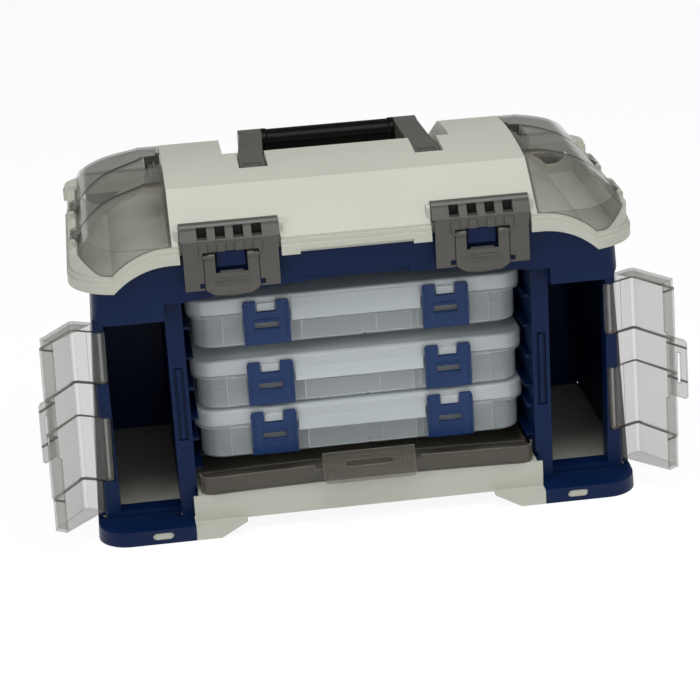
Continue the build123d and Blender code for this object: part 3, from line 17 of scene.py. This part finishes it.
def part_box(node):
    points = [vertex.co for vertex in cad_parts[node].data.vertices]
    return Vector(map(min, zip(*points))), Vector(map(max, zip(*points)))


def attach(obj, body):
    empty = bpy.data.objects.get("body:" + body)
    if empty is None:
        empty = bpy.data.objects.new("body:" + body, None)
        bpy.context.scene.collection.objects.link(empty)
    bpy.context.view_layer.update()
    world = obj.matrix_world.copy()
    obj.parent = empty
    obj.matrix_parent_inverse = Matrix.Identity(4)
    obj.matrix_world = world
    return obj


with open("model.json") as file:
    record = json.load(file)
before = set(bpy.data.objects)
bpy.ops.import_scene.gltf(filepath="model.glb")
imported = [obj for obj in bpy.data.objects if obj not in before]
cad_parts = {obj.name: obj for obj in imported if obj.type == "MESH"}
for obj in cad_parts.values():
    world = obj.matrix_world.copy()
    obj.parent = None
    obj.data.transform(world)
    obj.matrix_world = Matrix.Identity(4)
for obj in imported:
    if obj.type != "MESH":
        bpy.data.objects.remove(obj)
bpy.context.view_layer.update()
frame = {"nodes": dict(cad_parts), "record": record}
MM = 0.001
SIDES = (("left", -1), ("right", 1))
print("nodes", len(frame["nodes"]))

# %% [markdown]
# The camera stands a little to the left of the cabinet, looks down at it by about 21 degrees, and is rolled
# so that the cabinet seems to lean. Its place was fitted to the corners of the lid, base and latches, so it
# is written here as three angles, a distance and a target, which is how one would set up a tripod.

# %% Camera
CAMERA_AZIMUTH, CAMERA_ELEVATION, CAMERA_ROLL = math.radians(-5.91), math.radians(20.77), math.radians(3.48)
CAMERA_DISTANCE = 2.5055
CAMERA_TARGET = Vector((0.00172, 0.0, 0.13995))
LENS_MM, SENSOR_MM = 116.94, 36.0


def tripod(azimuth, elevation, roll, distance, target):
    """Camera matrix that looks at target from the given side."""
    flat = math.cos(elevation)
    back = Vector((math.sin(azimuth) * flat, -math.cos(azimuth) * flat, math.sin(elevation)))
    level = Vector((math.cos(azimuth), math.sin(azimuth), 0.0))
    rise = back.cross(level)
    right = math.cos(roll) * level - math.sin(roll) * rise
    up = math.sin(roll) * level + math.cos(roll) * rise
    turn = Matrix((right, up, back)).transposed().to_4x4()
    return Matrix.Translation(target + distance * back) @ turn


camera_data = bpy.data.cameras.new("camera")
camera_data.lens, camera_data.sensor_width = LENS_MM, SENSOR_MM
camera_data.clip_end = 30.0
camera = bpy.data.objects.new("camera", camera_data)
camera.matrix_world = tripod(CAMERA_AZIMUTH, CAMERA_ELEVATION, CAMERA_ROLL, CAMERA_DISTANCE, CAMERA_TARGET)
bpy.context.scene.collection.objects.link(camera)
bpy.context.scene.camera = camera
bpy.context.scene.view_settings.view_transform = "Standard"
print("camera at", [round(v, 3) for v in camera.matrix_world.translation])

# %% [markdown]
# The cabinet stands on a pale studio floor that runs on as the backdrop. To the camera most of the floor's
# brightness is its own, so that it reads as white, while a part of it still takes the light and keeps the
# soft shadow under the cabinet. Mirror and see-through rays get the same white.

# %% Floor and surroundings
FLOOR_SIZE = 14.0
FLOOR_OWN_SHARE = 0.86


def simple_tree(name):
    """A new material with its Principled shader and output, ready for nodes."""
    material = bpy.data.materials.new(name)
    material.use_nodes = True
    return material, material.node_tree.nodes, material.node_tree.links


floor_mesh = bmesh.new()
bmesh.ops.create_grid(floor_mesh, x_segments=1, y_segments=1, size=FLOOR_SIZE / 2)
bmesh.ops.translate(floor_mesh, verts=floor_mesh.verts, vec=(0.0, 1.5, 0.0))
floor_data = bpy.data.meshes.new("studio_floor")
floor_mesh.to_mesh(floor_data)
floor_mesh.free()
studio_floor = bpy.data.objects.new("studio_floor", floor_data)
bpy.context.scene.collection.objects.link(studio_floor)
floor_paint, nodes, links = simple_tree("floor_paint")
shader = nodes["Principled BSDF"]
shader.inputs["Base Color"].default_value = (0.86, 0.86, 0.86, 1.0)
shader.inputs["Roughness"].default_value = 0.7
own = nodes.new("ShaderNodeEmission")
own.inputs["Strength"].default_value = 1.06
path = nodes.new("ShaderNodeLightPath")
glossy_or_camera = nodes.new("ShaderNodeMath")
glossy_or_camera.operation = "MAXIMUM"
any_seen = nodes.new("ShaderNodeMath")
any_seen.operation = "MAXIMUM"
share = nodes.new("ShaderNodeMath")
share.operation = "MULTIPLY"
share.inputs[1].default_value = FLOOR_OWN_SHARE
blend = nodes.new("ShaderNodeMixShader")
links.new(path.outputs["Is Camera Ray"], glossy_or_camera.inputs[0])
links.new(path.outputs["Is Glossy Ray"], glossy_or_camera.inputs[1])
links.new(glossy_or_camera.outputs[0], any_seen.inputs[0])
links.new(path.outputs["Is Transmission Ray"], any_seen.inputs[1])
links.new(any_seen.outputs[0], share.inputs[0])
links.new(share.outputs[0], blend.inputs[0])
links.new(shader.outputs[0], blend.inputs[1])
links.new(own.outputs[0], blend.inputs[2])
links.new(blend.outputs[0], nodes["Material Output"].inputs["Surface"])
floor_data.materials.append(floor_paint)

world = bpy.data.worlds.new("studio")
bpy.context.scene.world = world
world.use_nodes = True
world.node_tree.nodes["Background"].inputs["Color"].default_value = (0.95, 0.97, 1.0, 1.0)
world.node_tree.nodes["Background"].inputs["Strength"].default_value = 0.30
print("floor", FLOOR_SIZE, "m")

# %% [markdown]
# Product photographs like this one are lit by large soft boxes: a wide one above and in front, a second at
# the left that models the domed covers, and a weak fill from the right. Area lamps do the same here, and
# their size keeps every shadow edge soft.

# %% Lamps
LAMPS = {
    "overhead": ((0.1, -0.7, 2.3), (0.0, 0.0, 0.25), 1.6, 30.0),
    "left_box": ((-2.2, -1.8, 1.5), (0.0, 0.0, 0.2), 1.2, 20.0),
    "right_fill": ((2.2, -1.6, 1.0), (0.0, 0.0, 0.2), 1.2, 9.0),
    "front_fill": ((0.2, -2.8, 0.9), (0.0, 0.0, 0.15), 1.2, 5.5),
}


def soft_box(name, place, aim, size, power):
    lamp = bpy.data.lights.new(name, "AREA")
    lamp.shape, lamp.size, lamp.size_y, lamp.energy = "RECTANGLE", size, size * 0.7, power
    holder = bpy.data.objects.new(name, lamp)
    direction = Vector(aim) - Vector(place)
    holder.matrix_world = Matrix.Translation(place) @ direction.to_track_quat("-Z", "Y").to_matrix().to_4x4()
    bpy.context.scene.collection.objects.link(holder)


for name, (place, aim, size, power) in LAMPS.items():
    soft_box(name, place, aim, size, power)
print("lamps", len(LAMPS))

# %% [markdown]
# Moulded plastic is never one even colour. A slow drift in tone comes from how the melt flowed, a very fine
# grain from the spark-eroded mould, and faint scuffs from use show in the gloss. One function builds that:
# two noises for the tone and the gloss and one for the grain as bump. Every opaque moulding below is this
# function with its own colour and gloss.

# %% Moulded plastic
EDGE_LINE = 0.0009
DRIFT_SCALE = 7.0
GRAIN_SCALE = 1400.0
SCUFF_SCALE = 55.0


def shaded(colour, factor):
    return tuple(min(1.0, c * factor) for c in colour) + (1.0,)


def moulded(name, colour, roughness, drift=0.06, grain=0.15, scuff=0.05, shine=0.5):
    """Opaque moulded plastic: tone drift, fine grain, faint scuffs in the gloss."""
    material, nodes, links = simple_tree(name)
    shader = nodes["Principled BSDF"]
    shader.inputs["IOR"].default_value = 1.49
    shader.inputs["Specular IOR Level"].default_value = shine
    place = nodes.new("ShaderNodeTexCoord")
    slow = nodes.new("ShaderNodeTexNoise")
    slow.inputs["Scale"].default_value = DRIFT_SCALE
    slow.inputs["Detail"].default_value = 3.0
    tone = nodes.new("ShaderNodeValToRGB")
    tone.color_ramp.elements[0].position, tone.color_ramp.elements[1].position = 0.3, 0.7
    tone.color_ramp.elements[0].color = shaded(colour, 1.0 - drift)
    tone.color_ramp.elements[1].color = shaded(colour, 1.0 + drift)
    scuffs = nodes.new("ShaderNodeTexNoise")
    scuffs.inputs["Scale"].default_value = SCUFF_SCALE
    scuffs.inputs["Detail"].default_value = 6.0
    scuffs.inputs["Distortion"].default_value = 0.8
    gloss = nodes.new("ShaderNodeMapRange")
    gloss.inputs["From Min"].default_value, gloss.inputs["From Max"].default_value = 0.35, 0.7
    gloss.inputs["To Min"].default_value, gloss.inputs["To Max"].default_value = roughness, roughness + scuff
    fine = nodes.new("ShaderNodeTexNoise")
    fine.inputs["Scale"].default_value = GRAIN_SCALE
    fine.inputs["Detail"].default_value = 2.0
    bump = nodes.new("ShaderNodeBump")
    bump.inputs["Strength"].default_value = grain
    bump.inputs["Distance"].default_value = 0.0002
    rounded = nodes.new("ShaderNodeBevel")
    rounded.samples = 4
    rounded.inputs["Radius"].default_value = EDGE_LINE
    links.new(rounded.outputs["Normal"], bump.inputs["Normal"])
    for texture in (slow, scuffs, fine):
        links.new(place.outputs["Object"], texture.inputs["Vector"])
    links.new(slow.outputs["Fac"], tone.inputs["Fac"])
    links.new(tone.outputs["Color"], shader.inputs["Base Color"])
    links.new(scuffs.outputs["Fac"], gloss.inputs["Value"])
    links.new(gloss.outputs["Result"], shader.inputs["Roughness"])
    links.new(fine.outputs["Fac"], bump.inputs["Height"])
    links.new(bump.outputs["Normal"], shader.inputs["Normal"])
    return material


# %% [markdown]
# Clear and smoked mouldings show what lies behind them, and look denser where the sheet is seen along its
# face or round a corner. Rays pass straight through these thin walls, so mixing with transparency is truer
# here than bending light, and the density follows the angle of view. The edges, found where a rounded normal
# differs from the true one, are denser still and carry a painted edge colour: a painted highlight on the
# clear sheets and the deep smoke, painted shade on the other smoked sheets. The moulded grooves get the same
# painted shade as darker lines, which a mask draws at their measured places along one axis of the object.

# %% See-through plastic
def add_math(nodes, links, operation, first, second):
    """A math node fed by two sockets or numbers; gives its output."""
    node = nodes.new("ShaderNodeMath")
    node.operation = operation
    for socket, value in zip(node.inputs, (first, second)):
        if isinstance(value, (int, float)):
            socket.default_value = value
        else:
            links.new(value, socket)
    return node.outputs[0]


def line_mask(nodes, links, axis, places, half_width):
    """1 on thin lines across the object at the given places along one axis, else 0."""
    point = nodes.new("ShaderNodeTexCoord")
    split = nodes.new("ShaderNodeSeparateXYZ")
    links.new(point.outputs["Object"], split.inputs["Vector"])
    total = None
    for place in places:
        offset = add_math(nodes, links, "SUBTRACT", split.outputs[axis], place)
        distance = add_math(nodes, links, "ABSOLUTE", offset, 0.0)
        near = add_math(nodes, links, "LESS_THAN", distance, half_width)
        total = near if total is None else add_math(nodes, links, "MAXIMUM", total, near)
    return total


def see_through(name, colour, edge_highlight_or_shade, clear, rim, edge, roughness, shade_lines=None):
    """Thin clear or smoked moulding: clear face on, dense at grazing angles, its edges and given lines in a
    painted edge colour (painted highlight when light, painted shade when dark).
    """
    material = moulded(name, colour, roughness, 0.05, 0.0, 0.04)
    nodes, links = material.node_tree.nodes, material.node_tree.links
    shader = nodes["Principled BSDF"]
    facing = nodes.new("ShaderNodeLayerWeight")
    facing.inputs["Blend"].default_value = 0.35
    density = nodes.new("ShaderNodeMapRange")
    density.inputs["From Min"].default_value, density.inputs["From Max"].default_value = 0.05, 0.9
    density.inputs["To Min"].default_value, density.inputs["To Max"].default_value = clear, rim
    links.new(facing.outputs["Facing"], density.inputs["Value"])
    rounded = next(node for node in nodes if node.type == "BEVEL")
    flat = nodes.new("ShaderNodeNewGeometry")
    match = nodes.new("ShaderNodeVectorMath")
    match.operation = "DOT_PRODUCT"
    links.new(rounded.outputs["Normal"], match.inputs[0])
    links.new(flat.outputs["True Normal"], match.inputs[1])
    edges = nodes.new("ShaderNodeMapRange")
    edges.inputs["From Min"].default_value, edges.inputs["From Max"].default_value = 0.985, 0.88
    links.new(match.outputs["Value"], edges.inputs["Value"])
    mask = edges.outputs["Result"]
    # Given lines join the edge mask and take its painted edge colour, which is painted shade on the covers
    # and side doors.
    if shade_lines:
        mask = add_math(nodes, links, "MAXIMUM", mask, line_mask(nodes, links, *shade_lines))
    solid = nodes.new("ShaderNodeMix")
    links.new(mask, solid.inputs["Factor"])
    links.new(density.outputs["Result"], solid.inputs["A"])
    solid.inputs["B"].default_value = edge
    links.new(solid.outputs["Result"], shader.inputs["Alpha"])
    # The edge colour mixed in here is painted light: a painted highlight where it is lighter than the sheet,
    # painted shade where it is darker.
    painted_edge_light_and_shade = nodes.new("ShaderNodeMix")
    painted_edge_light_and_shade.data_type = "RGBA"
    ramp = next(node for node in nodes if node.type == "VALTORGB")
    links.new(mask, painted_edge_light_and_shade.inputs["Factor"])
    links.new(ramp.outputs["Color"], painted_edge_light_and_shade.inputs[6])
    painted_edge_light_and_shade.inputs[7].default_value = shaded(edge_highlight_or_shade, 1.0)
    links.new(painted_edge_light_and_shade.outputs[2], shader.inputs["Base Color"])
    wave = nodes.new("ShaderNodeTexNoise")
    wave.inputs["Scale"].default_value = 28.0
    wave.inputs["Detail"].default_value = 1.0
    bump = next(node for node in nodes if node.type == "BUMP")
    bump.inputs["Strength"].default_value = 0.2
    bump.inputs["Distance"].default_value = 0.0006
    place = next(node for node in nodes if node.type == "TEX_COORD")
    links.new(place.outputs["Object"], wave.inputs["Vector"])
    links.new(wave.outputs["Fac"], bump.inputs["Height"])
    return material


# %% [markdown]
# The cabinet has nine plastics and one steel. The lid and the base tray are a warm pale grey, the body navy,
# the clips a brighter blue, the latches and the handle two dark greys. The bait covers, the side doors and
# the stored door are smoked by different amounts, and the utility boxes are clear with milkier lids. Their
# edges carry painted highlight on the clear sheets and the stored door and painted shade on the covers and
# side doors, and the covers' two grooves and the side doors' four steps show as lines of painted shade.

# %% Finishes
# Places of the painted shade lines over the covers' grooves and the side doors' steps.
COVER_GROOVE_SHADE_LINES = ("Y", (-0.070, 0.030), 0.0018)
DOOR_STEP_SHADE_LINES = ("Z", (0.061, 0.133, 0.171, 0.228), 0.0008)
# Edge colours: the smoke's dark edge is painted shade, and the deep smoke's and the clear's light edges are
# painted highlights.
SMOKE, SMOKE_PAINTED_SHADE = (0.15, 0.14, 0.112), (0.040, 0.036, 0.028)
PALE_SMOKE = (0.30, 0.29, 0.26)
DEEP_SMOKE, DEEP_SMOKE_PAINTED_HIGHLIGHT = (0.11, 0.10, 0.078), (0.46, 0.43, 0.37)
CLEAR, CLEAR_PAINTED_HIGHLIGHT = (0.84, 0.90, 0.92), (0.97, 0.98, 0.98)
FINISHES = {
    "navy_plastic": moulded("navy_plastic", (0.0026, 0.0130, 0.056), 0.34, 0.10, 0.12, 0.08, 0.16),
    "pale_plastic": moulded("pale_plastic", (0.500, 0.503, 0.430), 0.42, 0.03, 0.10, 0.08, 0.4),
    "grey_plastic": moulded("grey_plastic", (0.074, 0.070, 0.060), 0.30, 0.08, 0.20, 0.08, 0.45),
    "dark_plastic": moulded("dark_plastic", (0.112, 0.106, 0.091), 0.33, 0.10, 0.10, 0.06),
    "grip_rubber": moulded("grip_rubber", (0.003, 0.0028, 0.0022), 0.26, 0.15, 0.12, 0.08, 0.08),
    "clip_plastic": moulded("clip_plastic", (0.003, 0.030, 0.120), 0.20, 0.08, 0.08, 0.06, 0.32),
    "pin_steel": moulded("pin_steel", (0.42, 0.42, 0.41), 0.32, 0.05, 0.05, 0.05),
    "smoke_plastic": see_through("smoke_plastic", DEEP_SMOKE, DEEP_SMOKE_PAINTED_HIGHLIGHT, 0.36, 0.75, 0.7, 0.12),
    "clear_plastic": see_through("clear_plastic", CLEAR, CLEAR_PAINTED_HIGHLIGHT, 0.20, 0.60, 0.85, 0.10),
}
FINISHES["pin_steel"].node_tree.nodes["Principled BSDF"].inputs["Metallic"].default_value = 1.0
# Near-black painted shade for the floors of the latch windows.
WINDOW_PAINTED_SHADE = moulded("window_painted_shade", (0.006, 0.0055, 0.005), 0.45, 0.1, 0.1, 0.05, 0.2)
MILKY_LID = see_through("milky_lid", CLEAR, CLEAR_PAINTED_HIGHLIGHT, 0.44, 0.76, 0.95, 0.10)
SMOKED_COVER = see_through("smoked_cover", SMOKE, SMOKE_PAINTED_SHADE, 0.12, 0.62, 0.95, 0.08, COVER_GROOVE_SHADE_LINES)
SMOKED_DOOR = see_through("smoked_door", PALE_SMOKE, SMOKE_PAINTED_SHADE, 0.20, 0.66, 0.85, 0.10, DOOR_STEP_SHADE_LINES)
print("finishes", sorted(FINISHES))

# %% [markdown]
# Each CAD node keeps its shape and gets the finish of its slot. Real mouldings have no knife edges, so a
# modifier stack welds the node's loose triangles, joins the flat ones into whole faces and rolls a small
# radius onto every edge sharper than a wide angle. The mesh stays as the CAD made it.

# %% Finish every CAD node
SLOT_OF = {part["node"]: part["material_slot"] for part in frame["record"]["subparts"]}
OWN_FINISH = {"bait_cover_left": SMOKED_COVER, "bait_cover_right": SMOKED_COVER,
              "side_door_left": SMOKED_DOOR, "side_door_right": SMOKED_DOOR,
              "box_1_lid": MILKY_LID, "box_2_lid": MILKY_LID, "box_3_lid": MILKY_LID}
EDGE_RADIUS = {"pale_plastic": 0.9, "navy_plastic": 0.8, "grey_plastic": 0.5, "clip_plastic": 0.4,
               "clear_plastic": 0.5, "smoke_plastic": 0.7}


def soften(part, radius_mm):
    """Small rounded edges on a CAD node, as live modifiers."""
    weld = part.modifiers.new("weld", "WELD")
    weld.merge_threshold = 0.00002
    flat = part.modifiers.new("join_flat_faces", "DECIMATE")
    flat.decimate_type = "DISSOLVE"
    flat.angle_limit = math.radians(0.6)
    rounding = part.modifiers.new("edge_radius", "BEVEL")
    rounding.width = radius_mm * MM
    rounding.segments = 2
    rounding.limit_method = "ANGLE"
    rounding.angle_limit = math.radians(38)
    rounding.use_clamp_overlap = True
    evening = part.modifiers.new("even_normals", "WEIGHTED_NORMAL")
    evening.keep_sharp = True


for node, part in frame["nodes"].items():
    finish = SLOT_OF[node]
    part.data.materials.clear()
    part.data.materials.append(OWN_FINISH.get(node, FINISHES[finish]))
    if finish in EDGE_RADIUS:
        soften(part, EDGE_RADIUS[finish])
print("finished", len(frame["nodes"]), "nodes")

# %% [markdown]
# A few small pieces are added to the CAD. Each is built as a bmesh round the origin, moved to its place,
# given its finish and a small bevel, and set to ride on the body that carries it.

# %% Place a small piece
def placed(mesh, name, at, finish, body, rounding_mm):
    """Turn a bmesh into a finished piece of the object that rides on a body."""
    bmesh.ops.translate(mesh, verts=mesh.verts, vec=at)
    data = bpy.data.meshes.new(name)
    mesh.to_mesh(data)
    mesh.free()
    piece = bpy.data.objects.new(name, data)
    bpy.context.scene.collection.objects.link(piece)
    data.materials.append(finish)
    edges = piece.modifiers.new("edge_radius", "BEVEL")
    edges.width, edges.segments, edges.limit_method = rounding_mm * MM, 2, "ANGLE"
    edges.angle_limit = math.radians(40)
    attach(piece, body)


# %% [markdown]
# Each lid latch has four windows in its sloping bar, and each window lies in shade inside. The bar turns on
# its pin, so the pin's middle gives the place of every window, and a thin rounded near-black tile of painted
# shade lines its floor.

# %% Latch windows
WINDOW_COUNT, WINDOW_PITCH = 4, 18.5 * MM
TILE_WIDTH, TILE_HEIGHT, TILE_DEPTH, TILE_CORNER = 9.4 * MM, 10.2 * MM, 0.3 * MM, 0.8 * MM
TILE_BEFORE_AXIS, TILE_BELOW_AXIS = 4.75 * MM, 1.5 * MM
UPRIGHT = Matrix.Rotation(math.radians(90), 3, "X")


def tile(width, height, depth, corner):
    """Thin rounded tile in X and Z that faces -Y."""
    mesh = bmesh.new()
    bmesh.ops.create_grid(mesh, x_segments=1, y_segments=1, size=0.5)
    bmesh.ops.scale(mesh, vec=(width, height, 1.0), verts=mesh.verts)
    bmesh.ops.bevel(mesh, geom=mesh.verts[:], offset=corner, segments=3, profile=0.5, affect="VERTICES",
                    material=-1)
    grown = bmesh.ops.extrude_face_region(mesh, geom=mesh.faces[:])
    top = [v for v in grown["geom"] if isinstance(v, bmesh.types.BMVert)]
    bmesh.ops.translate(mesh, verts=top, vec=(0.0, 0.0, depth))
    bmesh.ops.recalc_face_normals(mesh, faces=mesh.faces[:])
    bmesh.ops.rotate(mesh, verts=mesh.verts, cent=(0.0, 0.0, 0.0), matrix=UPRIGHT)
    return mesh


for word, _ in SIDES:
    pin_low, pin_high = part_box(f"latch_pin_{word}")
    middle = (pin_low[0] + pin_high[0]) / 2
    axis_y, axis_z = (pin_low[1] + pin_high[1]) / 2, (pin_low[2] + pin_high[2]) / 2
    for number in range(WINDOW_COUNT):
        x = middle + (number - (WINDOW_COUNT - 1) / 2) * WINDOW_PITCH
        # A near-black tile of painted shade on the window's floor.
        dark = tile(TILE_WIDTH, TILE_HEIGHT, TILE_DEPTH, TILE_CORNER)
        at = (x, axis_y - TILE_BEFORE_AXIS, axis_z - TILE_BELOW_AXIS)
        placed(dark, f"latch_window_{word}_{number + 1}", at, WINDOW_PAINTED_SHADE, f"latch_{word}", 0.05)
print("windows 8", "axis", round(axis_y, 4), round(axis_z, 4))

# %% [markdown]
# The real body is closed where the side wall meets the rear wall, and the modelled one has a hairline slit
# in that corner of each side bay. A narrow upright fillet closes it. Rays cast in the body find the two
# walls at the foot and at the head of the bay, and the fillet is a block cut along its diagonal and leaned
# with the wall.

# %% Corner fillets of the side bays
FILLET_LEG, FILLET_SUNK, FILLET_FOOT, FILLET_HEAD = 9.0 * MM, 1.0 * MM, 0.0225, 0.236
BAY_PROBE_X, BAY_PROBE_Y = 0.235, 0.10
body_mesh = frame["nodes"]["body_shell"].data
body_mesh.calc_loop_triangles()
body_walls = BVHTree.FromPolygons([tuple(v.co) for v in body_mesh.vertices],
                                  [tuple(t.vertices) for t in body_mesh.loop_triangles])


def wall_at(start, direction):
    """Distance from a point inside the bay to the body's wall."""
    return body_walls.ray_cast(Vector(start), Vector(direction))[3]


middle_height = (FILLET_HEAD + FILLET_FOOT) / 2
for word, side in SIDES:
    corner_x, corner_y = [], []
    for height in (FILLET_FOOT, FILLET_HEAD):
        probe = (side * BAY_PROBE_X, BAY_PROBE_Y, height)
        corner_x.append(side * (BAY_PROBE_X + wall_at(probe, (side, 0, 0))))
        corner_y.append(BAY_PROBE_Y + wall_at(probe, (0, 1, 0)))
    fillet = bmesh.new()
    bmesh.ops.create_cube(fillet, size=1.0)
    bmesh.ops.scale(fillet, vec=(FILLET_LEG, FILLET_LEG, FILLET_HEAD - FILLET_FOOT), verts=fillet.verts)
    cut = bmesh.ops.bisect_plane(fillet, geom=fillet.verts[:] + fillet.edges[:] + fillet.faces[:],
                                 plane_co=(0.0, 0.0, 0.0), plane_no=(-side, -1.0, 0.0), clear_outer=True)
    rim = [edge for edge in cut["geom_cut"] if isinstance(edge, bmesh.types.BMEdge)]
    bmesh.ops.contextual_create(fillet, geom=rim)
    bmesh.ops.remove_doubles(fillet, verts=fillet.verts, dist=1e-6)
    bmesh.ops.recalc_face_normals(fillet, faces=fillet.faces[:])
    for vertex in fillet.verts:
        end = 1 if vertex.co.z > 0 else 0
        vertex.co.x += corner_x[end] - side * (FILLET_LEG / 2 - FILLET_SUNK)
        vertex.co.y += corner_y[end] - (FILLET_LEG / 2 - FILLET_SUNK)
    placed(fillet, f"side_bay_corner_fillet_{word}", (0.0, 0.0, middle_height), FINISHES["navy_plastic"],
           "cabinet", 0.25)
    print("bay corner", word, [round(v, 4) for v in corner_x], [round(v, 4) for v in corner_y])
